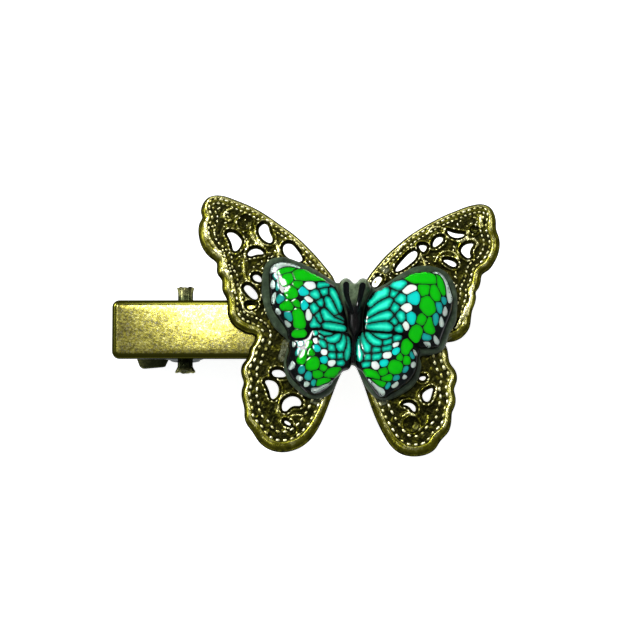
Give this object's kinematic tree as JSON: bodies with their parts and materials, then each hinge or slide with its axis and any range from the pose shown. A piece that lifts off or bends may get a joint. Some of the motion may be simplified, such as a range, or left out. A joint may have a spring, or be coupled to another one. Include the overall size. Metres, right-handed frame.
{
  "type": "butterfly hair clip",
  "caption": "Hinged two-arm sprung hair clip with a long flat top plate, a pierced stamped metal butterfly and a glossy clay butterfly with inlaid coloured cells glued on top.",
  "frame": {"origin": "middle of the clip's footprint in X and Y, at the height of its lowest point, the tip of the handle tab", "axes": "+X from the handle towards the jaw tip, +Y towards the head of the butterfly, +Z out of the decorated face"},
  "size_m": [0.0647, 0.0439, 0.0167],
  "materials": {
    "aged_bronze_plate": "satin, antique patina",
    "aged_bronze_pin": "satin, antique patina",
    "aged_bronze_stamping": "polished high spots, dark patina in the recesses",
    "spring_steel": "drawn wire",
    "glue": "cloudy, semi-gloss",
    "backing_clay": "satin",
    "black_clay": "varnished",
    "body_clay": "varnished",
    "fan_clay": "varnished",
    "green_clay": "varnished",
    "turquoise_clay": "varnished",
    "teal_clay": "varnished",
    "white_clay": "varnished",
    "grey_white_clay": "varnished"
  },
  "bodies": {
    "decorated_arm": {"top_arm": "aged_bronze_plate", "hinge_pin": "aged_bronze_pin", "torsion_spring": "spring_steel", "filigree_butterfly": "aged_bronze_stamping", "clip_glue": "glue", "clay_glue": "glue", "clay_backing": "backing_clay", "left_forewing": "black_clay", "right_forewing": "black_clay", "left_hindwing": "black_clay", "right_hindwing": "black_clay", "clay_body": "body_clay", "left_antenna": "black_clay", "right_antenna": "black_clay", "left_fan_cells": "fan_clay", "right_fan_cells": "fan_clay", "left_green_cells": "green_clay", "right_green_cells": "green_clay", "left_turquoise_cells": "turquoise_clay", "right_turquoise_cells": "turquoise_clay", "left_teal_cells": "teal_clay", "right_teal_cells": "teal_clay", "left_white_cells": "white_clay", "right_white_cells": "white_clay", "left_edge_cells": "grey_white_clay", "right_edge_cells": "grey_white_clay"},
    "jaw_arm": {"lower_arm": "aged_bronze_plate"}
  },
  "joints": [
    {"name": "clip_hinge", "type": "hinge", "parent": "decorated_arm", "child": "jaw_arm", "pos_m": [-0.02027, -0.00055, 0.00745], "axis": [0, 1, 0], "range_deg": [0, 35], "stiffness_Nm_per_rad": 0.1, "springref_deg": -34.38, "deforming": ["torsion_spring"]}
  ]
}
